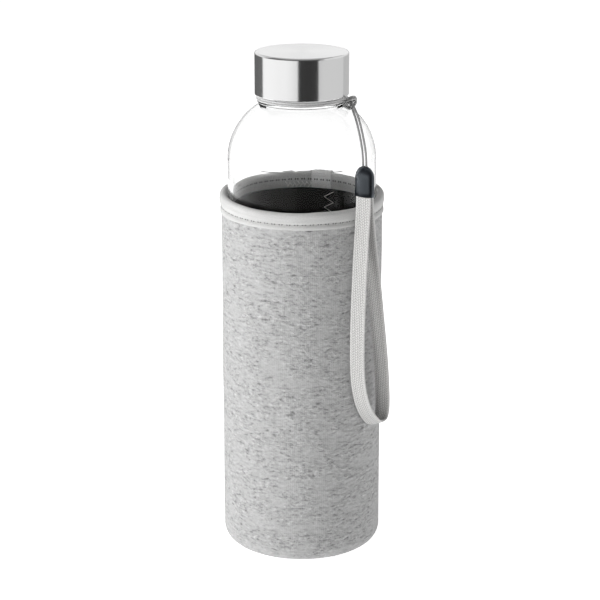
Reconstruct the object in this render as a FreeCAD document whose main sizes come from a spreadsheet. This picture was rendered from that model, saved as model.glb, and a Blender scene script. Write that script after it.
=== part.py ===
import FreeCAD, Part
import math
import os

import Sketcher
from FreeCAD import Placement, Rotation, Vector

# A half-litre glass water bottle in a fabric sleeve, with a steel screw lid and a wrist strap on a neck cord.
# Millimetres. The origin is the centre of the sleeve's base, on the surface that it stands on, and +Z is up.

os.makedirs("parts", exist_ok=True)
doc = FreeCAD.newDocument("glass_water_bottle")
sheet = doc.addObject("Spreadsheet::Sheet", "sizes")


class Size:
    """A length or a count, with the spreadsheet expression that it stands for."""

    def __init__(self, text, value):
        self.text = text
        self.value = value

    def _join(self, sign, other, value):
        return Size(f"({self.text} {sign} {as_size(other).text})", value)

    def __add__(self, other):
        return self._join("+", other, self.value + as_size(other).value)

    def __sub__(self, other):
        return self._join("-", other, self.value - as_size(other).value)

    def __mul__(self, other):
        return self._join("*", other, self.value * as_size(other).value)

    def __truediv__(self, other):
        return self._join("/", other, self.value / as_size(other).value)

    def root(self):
        return Size(f"sqrt({self.text})", math.sqrt(self.value))


def as_size(value):
    """Plain numbers count as sizes too."""
    return value if isinstance(value, Size) else Size(repr(value), value)


def size(name, value, note):
    """Writes one driving dimension into the sheet and gives it back as a Size."""
    row = size.next_row
    size.next_row += 1
    sheet.set(f"A{row}", name)
    sheet.set(f"B{row}", str(value))
    sheet.set(f"C{row}", note)
    sheet.setAlias(f"B{row}", name)
    return Size(f"sizes.{name}", value)


size.next_row = 1

# ---------------------------------------------------------------- driving dimensions

total_tall = size("total_tall", 220.0, "floor to the top of the lid")
fabric_gap = size("fabric_gap", 0.55, "glass to sleeve lining, all round")
seat_gap = size("seat_gap", 0.3, "glass to sleeve lining, under the bottle")

glass_r = size("glass_r", 31.95, "outside radius of the bottle")
glass_wall = size("glass_wall", 2.0, "wall of the bottle")
glass_floor = size("glass_floor", 4.2, "thickness of the bottle's base")
heel_r = size("heel_r", 4.6, "outside radius where the wall meets the base")
inner_heel_r = size("inner_heel_r", 4.0, "inside radius where the wall meets the base")
punt_r = size("punt_r", 22.0, "radius of the hollow under the base")
punt_deep = size("punt_deep", 1.5, "depth of the hollow under the base")
neck_low_z = size("neck_low_z", 197.41, "where the shoulder meets the neck")
shoulder_r = size("shoulder_r", 27.0, "radius of the shoulder's arc")
neck_r = size("neck_r", 18.4, "outside radius of the neck below the lid")
finish_r = size("finish_r", 17.2, "neck radius at the root of the thread")
bore_r = size("bore_r", 15.3, "radius of the mouth")
lip_r = size("lip_r", 0.8, "rounding of the lip")
bead_r = size("bead_r", 0.6, "rounding of the bead that keeps the cord up")

pitch = size("pitch", 4.0, "thread pitch")
thread_turns = size("thread_turns", 1.4, "turns of thread")
thread_deep = size("thread_deep", 1.1, "height of the thread ridge")
thread_up = size("thread_up", 4.6, "where the thread starts, above the lid's lower edge")
thread_sunk = size("thread_sunk", 0.15, "how far the ridge is sunk into the neck")
thread_root = size("thread_root", 2.0, "ridge width at its root")
thread_crest = size("thread_crest", 0.9, "ridge width at its crest")
thread_gap = size("thread_gap", 0.35, "play between the two threads")

lid_r = size("lid_r", 20.2, "outside radius of the steel shell")
lid_tall = size("lid_tall", 18.2, "height of the steel shell")
lid_edge_r = size("lid_edge_r", 0.9, "rounding of the shell's top edge")
steel = size("steel", 0.4, "sheet thickness of the shell")
hem_wide = size("hem_wide", 0.9, "width of the shell's turned-in lower edge")
liner_wall = size("liner_wall", 1.0, "wall of the threaded liner")
liner_top = size("liner_top", 1.2, "thickness of the liner's top")
gasket_thick = size("gasket_thick", 1.2, "thickness of the gasket")
gasket_gap = size("gasket_gap", 0.1, "play above and below the gasket")
gasket_bore = size("gasket_bore", 13.5, "inside radius of the gasket")

cord_d = size("cord_d", 0.95, "diameter of the neck cord")
cord_gap = size("cord_gap", 0.08, "play between the cord and the neck")
cord_below_lid = size("cord_below_lid", 0.3, "room between the upper turn and the lid")

lining_thick = size("lining_thick", 0.3, "inner knit")
foam_thick = size("foam_thick", 1.4, "foam core")
jersey_thick = size("jersey_thick", 0.5, "outer knit")
sleeve_corner = size("sleeve_corner", 6.4, "outside radius where the wall meets the base")
rim_top = size("rim_top", 159.4, "top of the binding")
rim_flare = size("rim_flare", 0.6, "how far the lining steps out under the binding")
flare_low = size("flare_low", 13.0, "where that step starts, below the binding's top")
flare_high = size("flare_high", 9.0, "where that step ends, below the binding's top")
tape = size("tape", 0.55, "thickness of the binding tape")
tape_out = size("tape_out", 8.5, "height of the binding outside")
tape_in = size("tape_in", 6.2, "height of the binding inside")
lap_thick = size("lap_thick", 0.3, "extra thickness where the tape's ends lap")
lap_angle = size("lap_angle", 17.0, "length of that lap, in degrees round the rim")
seam_azimuth = size("seam_azimuth", 70.0, "side seam and tape lap, degrees from +X to +Y")
thread_d = size("thread_d", 0.3, "diameter of the sewing thread")

strap_wide = size("strap_wide", 7.5, "width of the wrist strap")
strap_thick = size("strap_thick", 1.3, "thickness of the wrist strap")
strap_gap = size("strap_gap", 0.4, "strap's edge to the lapped binding")
end_wide = size("end_wide", 9.4, "width of the cord end")
end_thick = size("end_thick", 5.0, "thickness of the cord end")
end_tall = size("end_tall", 13.2, "height of the cord end")
end_low = size("end_low", 164.0, "height of the cord end's mouth")
end_arch = size("end_arch", 3.9, "rounding of the cord end's shoulders")
end_round = size("end_round", 2.2, "rounding of the cord end's long edges")
end_play = size("end_play", 0.5, "room round the strap inside the cord end")
slot_wide = size("slot_wide", 3.0, "width of the slot that the cord enters by")
slot_thick = size("slot_thick", 1.4, "thickness of that slot")
crimp_up = size("crimp_up", 7.2, "the crimp's height above the cord end's mouth")
crimp_tall = size("crimp_tall", 2.8, "height of the crimp")
crimp_wide = size("crimp_wide", 4.0, "width of the crimp")
crimp_thick = size("crimp_thick", 2.2, "thickness of the crimp")

# ---------------------------------------------------------------- sizes that follow from them

laminate = lining_thick + foam_thick + jersey_thick
lining_r = glass_r + fabric_gap
foam_in_r = lining_r + lining_thick
foam_out_r = foam_in_r + foam_thick
sleeve_r = foam_out_r + jersey_thick
base_r = sleeve_r - sleeve_corner
glass_z = laminate + seat_gap
lid_z = total_tall - lid_tall
liner_out_r = lid_r - steel
liner_in_r = liner_out_r - liner_wall
liner_ceiling = total_tall - steel - liner_top
gasket_z = liner_ceiling - gasket_gap - gasket_thick
lip_z = gasket_z - gasket_gap
cord_ring_r = neck_r + cord_gap + cord_d / 2
cord_high_z = lid_z - cord_below_lid - cord_d / 2
cord_low_z = cord_high_z - cord_d - 0.02
bead_z = cord_low_z - cord_d / 2 - cord_gap - bead_r
finish_z = lid_z + 0.6
tape_in_r = lining_r + rim_flare - tape
tape_out_r = sleeve_r + tape
roll_r = (tape_out_r - tape_in_r) / 2
roll_mid_r = (tape_out_r + tape_in_r) / 2
roll_z = rim_top - roll_r
lapped_r = tape_out_r + lap_thick


# ---------------------------------------------------------------- helpers


def origin_plane(body, role):
    return next(f for f in body.Origin.OriginFeatures if f.Role == role)


def hold(sketch, geometry, end, along, amount, name):
    """Dimensions one coordinate of a sketch point from the sketch's origin."""
    if abs(amount.value) < 1e-9:
        axis = -2 if along == "DistanceX" else -1
        sketch.addConstraint(Sketcher.Constraint("PointOnObject", geometry, end, axis))
        return
    index = sketch.addConstraint(
        Sketcher.Constraint(along, -1, 1, geometry, end, amount.value)
    )
    sketch.renameConstraint(index, name)
    sketch.setExpression(f"Constraints.{name}", amount.text)


def draw(sketch, corners, arcs=None):
    """Draws a closed outline of dimensioned corners. arcs gives, for a corner's number, the centre of the
    arc that leads on from it and whether that arc turns to the left."""
    corners = [(as_size(x), as_size(y)) for x, y in corners]
    arcs = {i: (as_size(x), as_size(y), left) for i, (x, y, left) in (arcs or {}).items()}
    places = [Vector(x.value, y.value, 0) for x, y in corners]
    starts = {}
    ends = {}
    for i, here in enumerate(places):
        after = places[(i + 1) % len(places)]
        if i not in arcs:
            sketch.addGeometry(Part.LineSegment(here, after))
            starts[i], ends[i] = 1, 2
            continue
        centre = Vector(arcs[i][0].value, arcs[i][1].value, 0)
        first, last = (here, after) if arcs[i][2] else (after, here)
        angles = [math.atan2(p.y - centre.y, p.x - centre.x) for p in (first, last)]
        circle = Part.Circle(centre, Vector(0, 0, 1), (here - centre).Length)
        if angles[1] < angles[0]:
            angles[1] += 2 * math.pi
        sketch.addGeometry(Part.ArcOfCircle(circle, *angles))
        starts[i], ends[i] = (1, 2) if arcs[i][2] else (2, 1)
    for i in range(len(places)):
        after = (i + 1) % len(places)
        sketch.addConstraint(
            Sketcher.Constraint("Coincident", i, ends[i], after, starts[after])
        )
    for i, (x, y) in enumerate(corners):
        before = (i - 1) % len(corners)
        free = None
        if before in arcs:  # the arc's radius already settles one of the two
            spoke = places[i] - Vector(arcs[before][0].value, arcs[before][1].value, 0)
            free = "y" if abs(spoke.y) > abs(spoke.x) else "x"
        if free != "x":
            hold(sketch, i, starts[i], "DistanceX", x, f"corner{i}x")
        if free != "y":
            hold(sketch, i, starts[i], "DistanceY", y, f"corner{i}y")
    for i, (x, y, _) in arcs.items():
        hold(sketch, i, 3, "DistanceX", x, f"centre{i}x")
        hold(sketch, i, 3, "DistanceY", y, f"centre{i}y")


def turned(name, corners, arcs=None, angle=360):
    """A body turned about the Z axis from an outline in radius and height."""
    body = doc.addObject("PartDesign::Body", name)
    sketch = body.newObject("Sketcher::SketchObject", name + "_outline")
    sketch.AttachmentSupport = (origin_plane(body, "XZ_Plane"), [""])
    sketch.MapMode = "FlatFace"
    draw(sketch, corners, arcs)
    revolution = body.newObject("PartDesign::Revolution", name + "_turned")
    revolution.Profile = sketch
    revolution.ReferenceAxis = (sketch, ["V_Axis"])
    if isinstance(angle, Size):
        revolution.setExpression("Angle", angle.text)
    else:
        revolution.Angle = angle
    return body


def bind(part, **sizes):
    """Ties properties of a part to sheet sizes. base_z stands for the placement's height."""
    for prop, amount in sizes.items():
        path = "Placement.Base.z" if prop == "base_z" else prop
        part.setExpression(path, as_size(amount).text)
    return part


def fixed_shape(name, shape):
    """A node whose shape is worked out here from the sheet's sizes."""
    part = doc.addObject("Part::Feature", name)
    part.Shape = shape
    return part


def thread(name, root_r, crest_r, start_z):
    """One helical ridge, swept from a trapezoid that stands on root_r and ends at crest_r."""
    helix = doc.addObject("Part::Helix", name + "_helix")
    bind(helix, Pitch=pitch, Height=pitch * thread_turns, Radius=neck_r, base_z=start_z)
    profile = doc.addObject("Sketcher::SketchObject", name + "_profile")
    profile.Placement = Placement(Vector(), Rotation(Vector(1, 0, 0), 90))
    corners = [
        (root_r, start_z - thread_root / 2),
        (crest_r, start_z - thread_crest / 2),
        (crest_r, start_z + thread_crest / 2),
        (root_r, start_z + thread_root / 2),
    ]
    draw(profile, corners)
    doc.recompute()
    sweep = doc.addObject("Part::Sweep", name)
    sweep.Sections = [profile]
    sweep.Spine = (helix, [f"Edge{i + 1}" for i in range(len(helix.Shape.Edges))])
    sweep.Solid = True
    sweep.Frenet = True
    return sweep


def joined(name, base, tool):
    part = doc.addObject("Part::Fuse", name)
    part.Base = base
    part.Tool = tool
    return part


def rounded_route(points, label):
    """A wire of straight runs joined by tangent arcs, as large as the runs allow. It prints the radii."""
    edges = []
    radii = []
    here = points[0]
    for before, corner, after in zip(points, points[1:], points[2:]):
        back = before - corner
        on = after - corner
        reach = 0.45 * min(back.Length, on.Length)
        half_turn = (math.pi - back.getAngle(on)) / 2
        radius = reach / math.tan(half_turn)
        radii.append(round(radius, 1))
        start = corner + back.normalize() * reach
        end = corner + on.normalize() * reach
        inward = (back + on).normalize()
        middle = corner + inward * (radius / math.cos(half_turn) - radius)
        edges.append(Part.LineSegment(here, start).toShape())
        edges.append(Part.Arc(start, middle, end).toShape())
        here = end
    edges.append(Part.LineSegment(here, points[-1]).toShape())
    route = Part.Wire(edges)
    print(f"{label}: length {route.Length:.1f} mm, radii {radii}")
    return route


def swept(route, section, label):
    """A section swept along a route, with its volume compared with section times length."""
    solid = route.makePipeShell([section], True, False)
    wanted = Part.Face(section).Area * route.Length
    error = abs(solid.Volume - wanted) / wanted
    print(f"{label}: volume {solid.Volume:.1f} mm3, {100 * error:.2f}% from section x length")
    assert error < 0.02, label
    return solid


def stitch(start, end):
    """One stitch: a short straight length of sewing thread."""
    return Part.makeCylinder(thread_d.value / 2, (end - start).Length, start, end - start)


def on_wall(radius, degrees, z):
    angle = math.radians(degrees)
    return Vector(radius * math.cos(angle), radius * math.sin(angle), z)


# ---------------------------------------------------------------- the bottle

shoulder_mid = glass_r - shoulder_r
neck_run = neck_r - shoulder_mid
shoulder_z = neck_low_z - (shoulder_r * shoulder_r - neck_run * neck_run).root()
thread_z = lid_z + thread_up


def make_glass():
    """Outside from the middle of the base up to the lip, then the inside back down to the floor."""
    inner_r = glass_r - glass_wall
    inner_shoulder = shoulder_r - glass_wall
    floor_z = glass_z + glass_floor
    punt_ball = (punt_r * punt_r + punt_deep * punt_deep) / (punt_deep * 2)
    bore_run = bore_r - shoulder_mid
    bore_end_z = shoulder_z + (inner_shoulder * inner_shoulder - bore_run * bore_run).root()
    corners = [
        (punt_r, glass_z),
        (glass_r - heel_r, glass_z),
        (glass_r, glass_z + heel_r),
        (glass_r, shoulder_z),
        (neck_r, neck_low_z),
        (neck_r, bead_z - bead_r),
        (neck_r, bead_z + bead_r),
        (neck_r, finish_z),
        (finish_r, finish_z + (neck_r - finish_r)),
        (finish_r, lip_z - lip_r),
        (finish_r - lip_r, lip_z),
        (bore_r + lip_r, lip_z),
        (bore_r, lip_z - lip_r),
        (bore_r, bore_end_z),
        (inner_r, shoulder_z),
        (inner_r, floor_z + inner_heel_r),
        (inner_r - inner_heel_r, floor_z),
        (0, floor_z),
        (0, glass_z + punt_deep),
    ]
    arcs = {
        1: (glass_r - heel_r, glass_z + heel_r, True),
        3: (shoulder_mid, shoulder_z, True),
        5: (neck_r, bead_z, True),
        9: (finish_r - lip_r, lip_z - lip_r, True),
        11: (bore_r + lip_r, lip_z - lip_r, True),
        13: (shoulder_mid, shoulder_z, False),
        15: (inner_r - inner_heel_r, floor_z + inner_heel_r, False),
        18: (0, glass_z + punt_deep - punt_ball, False),
    }
    blank = turned("glass_blank", corners, arcs)
    ridge = thread("glass_thread", finish_r - thread_sunk, finish_r + thread_deep, thread_z)
    return joined("glass_bottle", blank, ridge)


# ---------------------------------------------------------------- the lid


def make_lid_shell():
    """A drawn steel cup with its lower edge turned in."""
    inner_r = lid_r - steel
    edge_mid = lid_r - lid_edge_r
    top_mid = total_tall - lid_edge_r
    corners = [
        (lid_r, lid_z + steel),
        (lid_r, top_mid),
        (edge_mid, total_tall),
        (0, total_tall),
        (0, total_tall - steel),
        (edge_mid, total_tall - steel),
        (inner_r, top_mid),
        (inner_r, lid_z + steel),
        (lid_r - hem_wide, lid_z + steel),
        (lid_r - hem_wide, lid_z),
        (lid_r - steel, lid_z),
    ]
    arcs = {
        1: (edge_mid, top_mid, True),
        5: (edge_mid, top_mid, False),
        10: (lid_r - steel, lid_z + steel, True),
    }
    return turned("lid_shell", corners, arcs)


def make_lid_liner():
    """A moulded cup that fills the shell and carries the lid's thread."""
    low = lid_z + steel
    corner_r = lid_edge_r - steel
    corners = [
        (liner_in_r, low),
        (liner_out_r, low),
        (liner_out_r, total_tall - steel - corner_r),
        (liner_out_r - corner_r, total_tall - steel),
        (0, total_tall - steel),
        (0, liner_ceiling),
        (liner_in_r, liner_ceiling),
    ]
    arcs = {2: (liner_out_r - corner_r, total_tall - steel - corner_r, True)}
    blank = turned("liner_blank", corners, arcs)
    start_z = thread_z - pitch / 2 + thread_gap
    ridge = thread("liner_thread", liner_in_r + 0.15, liner_in_r - thread_deep, start_z)
    return joined("lid_liner", blank, ridge)


def make_lid_gasket():
    """A flat silicone ring between the lip and the liner."""
    outer = liner_in_r - 0.3
    corners = [
        (gasket_bore, gasket_z),
        (outer, gasket_z),
        (outer, gasket_z + gasket_thick),
        (gasket_bore, gasket_z + gasket_thick),
    ]
    return turned("lid_gasket", corners)


# ---------------------------------------------------------------- the sleeve

wall_top = roll_z


def make_wall_layer(name, outside, inside, steps_outside, steps_inside):
    """One layer of the sleeve's wall. It curls in under the bottle, up to the seam with the base."""
    mid_z = sleeve_corner
    step_low = rim_top - flare_low
    step_high = rim_top - flare_high
    corners = [(base_r, mid_z - (outside - base_r)), (outside, mid_z)]
    if steps_outside:
        corners += [(outside, step_low), (outside + rim_flare, step_high)]
    corners += [
        (outside + rim_flare if steps_outside else outside, wall_top),
        (inside + rim_flare if steps_inside else inside, wall_top),
    ]
    if steps_inside:
        corners += [(inside + rim_flare, step_high), (inside, step_low)]
    corners += [(inside, mid_z), (base_r, mid_z - (inside - base_r))]
    arcs = {
        0: (base_r, mid_z, True),
        len(corners) - 2: (base_r, mid_z, False),
    }
    return turned(name, corners, arcs)


def make_base_layer(name, low, thick):
    """One disc of the sleeve's base, cut just inside its seam."""
    disc = doc.addObject("Part::Cylinder", name)
    return bind(disc, Radius=base_r - 0.05, Height=thick, base_z=low)


def make_rim_binding():
    """Tape folded over the wall's raw edge. Its two ends lap at the side seam."""
    outline = [
        (tape_out_r, rim_top - tape_out),
        (tape_out_r, roll_z),
        (tape_in_r, roll_z),
        (tape_in_r, rim_top - tape_in),
        (tape_in_r + tape, rim_top - tape_in),
        (tape_in_r + tape, roll_z),
        (tape_out_r - tape, roll_z),
        (tape_out_r - tape, rim_top - tape_out),
    ]
    arcs = {1: (roll_mid_r, roll_z, True), 5: (roll_mid_r, roll_z, False)}
    ring = turned("binding_ring", outline, arcs)
    proud = lap_thick
    lap_outline = [
        (tape_out_r + proud, rim_top - tape_out - proud),
        (tape_out_r + proud, roll_z),
        (tape_in_r - proud, roll_z),
        (tape_in_r - proud, rim_top - tape_in),
        (tape_in_r, rim_top - tape_in),
        (tape_in_r, roll_z),
        (tape_out_r, roll_z),
        (tape_out_r, rim_top - tape_out - proud),
    ]
    lap = turned("binding_lap", lap_outline, arcs, lap_angle)
    turn = Rotation(Vector(0, 0, 1), seam_azimuth.value - lap_angle.value / 2)
    lap.Placement = Placement(Vector(), turn)
    lap.setExpression("Placement.Rotation.Angle", (seam_azimuth - lap_angle / 2).text)
    return joined("rim_binding", ring, lap)


rim_stitch_z = rim_top - 6.0
stitch_pitch = 3.3
stitch_long = 2.2


def make_rim_stitches():
    """One row of straight stitches round the outside of the binding."""
    radius = tape_out_r.value + thread_d.value * 0.3
    count = round(2 * math.pi * radius / stitch_pitch)
    span = math.degrees(stitch_long / radius) / 2
    row = []
    for i in range(count):
        middle = 360 * i / count
        start = on_wall(radius, middle - span, rim_stitch_z.value)
        row.append(stitch(start, on_wall(radius, middle + span, rim_stitch_z.value)))
    return fixed_shape("rim_stitches", Part.makeCompound(row))


def make_binding_tack():
    """Two upright rows of stitches that tack the lapped ends of the tape."""
    radius = lapped_r.value + thread_d.value * 0.3
    row = []
    for side in (-0.35, 0.35):
        azimuth = seam_azimuth.value + side * lap_angle.value
        for step in range(3):
            high = roll_z.value - 0.4 - 2.4 * step
            row.append(stitch(on_wall(radius, azimuth, high), on_wall(radius, azimuth, high - 1.7)))
    return fixed_shape("binding_tack", Part.makeCompound(row))


zigzag_wide = 4.6
zigzag_rise = 2.4


def make_seam_zigzag(name, radius, high):
    """Zigzag stitches that close the wall's side seam, from the base up to the binding."""
    low = sleeve_corner.value + 1.5
    count = int((high - low) / zigzag_rise)
    swing = math.degrees(zigzag_wide / 2 / radius)
    row = []
    for i in range(count):
        side = 1 if i % 2 else -1
        start = on_wall(radius, seam_azimuth.value - side * swing, low + i * zigzag_rise)
        end = on_wall(radius, seam_azimuth.value + side * swing, low + (i + 0.93) * zigzag_rise)
        row.append(stitch(start, end))
    return fixed_shape(name, Part.makeCompound(row))


base_stitch_pitch = 3.0
base_stitch_long = 2.6


def make_base_stitches():
    """Short stitches across the seam between the wall and the base, flush with the underside."""
    count = round(2 * math.pi * base_r.value / base_stitch_pitch)
    row = []
    for i in range(count):
        azimuth = 360 * i / count
        inner = on_wall(base_r.value - base_stitch_long / 2, azimuth, thread_d.value / 2)
        row.append(stitch(inner, on_wall(base_r.value + base_stitch_long / 2, azimuth, thread_d.value / 2)))
    return fixed_shape("base_stitches", Part.makeCompound(row))


# ---------------------------------------------------------------- cord, cord end and wrist strap

hitch_azimuth = -15.0
hitch_ring_r = 1.85
hitch_out = 2.5
strap_turn = -38.0  # the strap's width points this way, in degrees from +X
end_x = 26.1

# The strap's width runs along across, and its loop lies in the upright plane of along and +Z.
across = Vector(math.cos(math.radians(strap_turn)), math.sin(math.radians(strap_turn)), 0)
along = Vector(-across.y, across.x, 0)
strap_out = lapped_r.value + strap_gap.value + strap_wide.value / 2
end_y = (strap_out - end_x * across.x) / across.y
end_mid = Vector(end_x, end_y, end_low.value)
end_turn = Rotation(Vector(0, 0, 1), strap_turn)
hitch_z = (cord_high_z.value + cord_low_z.value) / 2 - 0.3
hitch = on_wall(cord_ring_r.value + cord_d.value / 2 + hitch_out, hitch_azimuth, hitch_z)

crimp_z = end_low + crimp_up
crimp_top = (crimp_z + crimp_tall).value

# Both legs of the cord, as the line midway between them, from the crimp up to the hitch.
# The second figure is half the distance between the legs there.
leg_route = [
    (Vector(26.1, end_y, crimp_top), 0.85),
    (Vector(26.0, -30.7, 181.2), 0.85),
    (Vector(25.3, -26.9, 186.0), 0.85),
    (Vector(24.3, -19.6, 190.4), 0.85),
    (Vector(23.3, -13.2, 194.6), 0.8),
    (Vector(22.2, -9.3, 197.5), 0.7),
]

# The strap's loop, as distance along its plane from the cord end and height above the floor.
strap_route = [
    (-0.85, 170.4),
    (-1.0, 163.0),
    (-2.4, 150.0),
    (-4.2, 128.0),
    (-4.9, 103.0),
    (-4.6, 79.5),
    (-3.6, 67.4),
    (1.0, 62.4),
    (7.6, 62.3),
    (12.1, 67.0),
    (12.7, 79.8),
    (11.2, 103.0),
    (8.4, 127.0),
    (4.4, 149.0),
    (1.0, 163.0),
    (0.85, 170.4),
]


def make_neck_cord():
    """The doubled cord lies round the neck as two turns, one above the other."""
    turns = []
    for name, height in (("cord_turn_low", cord_low_z), ("cord_turn_high", cord_high_z)):
        turn = doc.addObject("Part::Torus", name)
        turns.append(bind(turn, Radius1=cord_ring_r, Radius2=cord_d / 2, base_z=height))
    part = doc.addObject("Part::Compound", "neck_cord")
    part.Links = turns
    return part


def make_cord_hitch():
    """The bight of the doubled cord, which the two legs pass through."""
    legs_way = leg_route[-1][0] - hitch
    ring = Part.makeTorus(hitch_ring_r, cord_d.value / 2, hitch, legs_way)
    return fixed_shape("cord_hitch", ring)


def make_cord_leg(name, side):
    points = [middle + across * (side * half) for middle, half in leg_route]
    route = rounded_route(points, name)
    circle = Part.Circle(points[0], points[1] - points[0], cord_d.value / 2)
    return fixed_shape(name, swept(route, Part.Wire([circle.toShape()]), name))


def make_wrist_strap():
    points = [end_mid + along * u + Vector(0, 0, z - end_low.value) for u, z in strap_route]
    route = rounded_route(points, "wrist_strap")
    half_wide = across * (strap_wide.value / 2)
    normal = (points[1] - points[0]).cross(across).normalize() * (strap_thick.value / 2)
    corners = [half_wide + normal, normal - half_wide, -half_wide - normal, half_wide - normal]
    section = Part.makePolygon([points[0] + c for c in corners + corners[:1]])
    return fixed_shape("wrist_strap", swept(route, section, "wrist_strap"))


def make_strap_tack():
    """Three stitches through both ends of the strap, inside the cord end."""
    reach = along * (strap_thick.value + end_play.value * 0.6)
    row = []
    for side in (-0.3, 0, 0.3):
        middle = end_mid + across * (side * strap_wide.value) + Vector(0, 0, 3.4)
        row.append(stitch(middle - reach, middle + reach))
    return fixed_shape("strap_tack", Part.makeCompound(row))


def make_cord_crimp():
    """The metal clip that holds the cord's ends."""
    crimp = doc.addObject("Part::Box", "cord_crimp")
    bind(crimp, Length=crimp_wide, Width=crimp_thick, Height=crimp_tall)
    corner = end_mid - across * (crimp_wide.value / 2) - along * (crimp_thick.value / 2)
    crimp.Placement = Placement(corner, end_turn)
    return bind(crimp, base_z=crimp_z)


def make_cord_end():
    """A moulded cap with round shoulders, hollow from below, with a slot on top for the cord."""
    body = doc.addObject("PartDesign::Body", "cord_end_cap")
    half = end_wide / 2
    front = body.newObject("Sketcher::SketchObject", "end_front")
    front.AttachmentSupport = (origin_plane(body, "XZ_Plane"), [""])
    front.MapMode = "FlatFace"
    corners = [
        (half * -1, 0),
        (half, 0),
        (half, end_tall - end_arch),
        (half - end_arch, end_tall),
        (end_arch - half, end_tall),
        (half * -1, end_tall - end_arch),
    ]
    arcs = {
        2: (half - end_arch, end_tall - end_arch, True),
        4: (end_arch - half, end_tall - end_arch, True),
    }
    draw(front, corners, arcs)
    pad = body.newObject("PartDesign::Pad", "end_block")
    pad.Profile = front
    pad.setExpression("Length", end_thick.text)
    pad.Midplane = True
    doc.recompute()
    long_edges = [
        f"Edge{i + 1}"
        for i, edge in enumerate(pad.Shape.Edges)
        if abs(abs(edge.CenterOfMass.y) - end_thick.value / 2) < 1e-6
        and edge.BoundBox.ZMax > 1e-6
    ]
    rounding = body.newObject("PartDesign::Fillet", "end_rounding")
    rounding.Base = (pad, long_edges)
    rounding.setExpression("Radius", end_round.text)
    doc.recompute()
    full = rounding.Shape.Volume
    cavity_deep = crimp_up + crimp_tall + end_play
    hollow(body, "end_cavity", (strap_wide + end_play) / 2, strap_thick + end_play, cavity_deep)
    hollow(body, "end_slot", slot_wide / 2, slot_thick / 2, end_tall)
    assert body.Shape.Volume < full - 100, "the cavity cut nothing"
    body.Placement = Placement(end_mid, end_turn)
    return body


def hollow(body, name, half_x, half_y, deep):
    """Cuts a rectangular pocket up into a body from its XY plane."""
    sketch = body.newObject("Sketcher::SketchObject", name + "_outline")
    sketch.AttachmentSupport = (origin_plane(body, "XY_Plane"), [""])
    sketch.MapMode = "FlatFace"
    left = half_x * -1
    front = half_y * -1
    draw(sketch, [(left, front), (half_x, front), (half_x, half_y), (left, half_y)])
    pocket = body.newObject("PartDesign::Pocket", name)
    pocket.Profile = sketch
    pocket.setExpression("Length", deep.text)
    pocket.Reversed = True
    doc.recompute()


# ---------------------------------------------------------------- assembly

nodes = [
    make_glass(),
    make_lid_shell(),
    make_lid_liner(),
    make_lid_gasket(),
    make_wall_layer("sleeve_jersey", sleeve_r, foam_out_r, False, False),
    make_wall_layer("sleeve_foam", foam_out_r, foam_in_r, False, True),
    make_wall_layer("sleeve_lining", foam_in_r, lining_r, True, True),
    make_base_layer("base_jersey", 0, jersey_thick),
    make_base_layer("base_foam", jersey_thick, foam_thick),
    make_base_layer("base_lining", jersey_thick + foam_thick, lining_thick),
    make_rim_binding(),
    make_rim_stitches(),
    make_binding_tack(),
    make_seam_zigzag("seam_zigzag_outer", sleeve_r.value + 0.15, rim_top.value - tape_out.value - 0.5),
    make_seam_zigzag("seam_zigzag_inner", lining_r.value, rim_top.value - flare_low.value),
    make_base_stitches(),
    make_neck_cord(),
    make_cord_hitch(),
    make_cord_leg("cord_leg_left", -1),
    make_cord_leg("cord_leg_right", 1),
    make_cord_crimp(),
    make_cord_end(),
    make_wrist_strap(),
    make_strap_tack(),
]
doc.recompute()

for part in doc.Objects:
    assert not {"Invalid", "Error"} & set(part.State), f"{part.Name} failed: {part.State}"
for part in nodes:
    assert not part.Shape.isNull() and part.Shape.isValid(), f"{part.Label} has no valid shape"
    assert part.Shape.Volume > 0, f"{part.Label} is empty"

for part in nodes:
    part.Shape.exportStep(f"parts/{part.Label}.step")
    box = part.Shape.BoundBox
    print(
        f"{part.Label}: {len(part.Shape.Solids)} solid(s), {part.Shape.Volume:.1f} mm3,"
        f" z {box.ZMin:.2f} to {box.ZMax:.2f}"
    )
print(f"{len(nodes)} nodes written")
print(f"hitch {hitch}, across {across}, along {along}, cord end {end_mid}")
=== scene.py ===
# %% [markdown]
# # A glass water bottle in a fabric sleeve
# The imported model is a fixed frame: hard parts such as the glass and the steel lid stay as they are and only get a
# finish. Everything soft (the sleeve, the cords, the strap and the sewing) is modelled here, in the same place, and
# stands for its plain solid.
# Lengths in this lesson are written in millimetres and turned into metres once, by multiplying with MM.

# %% Load the frame
import math

import bmesh
import bpy
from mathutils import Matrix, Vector, noise


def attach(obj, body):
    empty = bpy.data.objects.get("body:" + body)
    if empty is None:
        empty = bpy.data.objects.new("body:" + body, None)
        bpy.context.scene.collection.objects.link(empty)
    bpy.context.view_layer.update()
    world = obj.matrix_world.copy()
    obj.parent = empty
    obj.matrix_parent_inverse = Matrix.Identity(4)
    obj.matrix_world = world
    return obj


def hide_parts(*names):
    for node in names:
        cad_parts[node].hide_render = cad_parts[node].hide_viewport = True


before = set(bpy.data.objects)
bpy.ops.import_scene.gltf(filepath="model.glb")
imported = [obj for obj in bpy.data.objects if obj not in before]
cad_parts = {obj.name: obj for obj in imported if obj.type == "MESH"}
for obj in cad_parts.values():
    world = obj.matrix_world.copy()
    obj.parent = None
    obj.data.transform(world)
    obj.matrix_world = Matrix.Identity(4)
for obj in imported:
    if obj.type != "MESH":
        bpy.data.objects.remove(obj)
scene = bpy.context.scene
MM = 0.001
UP = Vector((0, 0, 1))


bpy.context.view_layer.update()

# %% [markdown]
# ## The camera
# A long lens from a little above, as for a catalogue picture. A short lens would make the lid look too large for the
# base. Everything else is judged through the camera, so it comes first.

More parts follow.
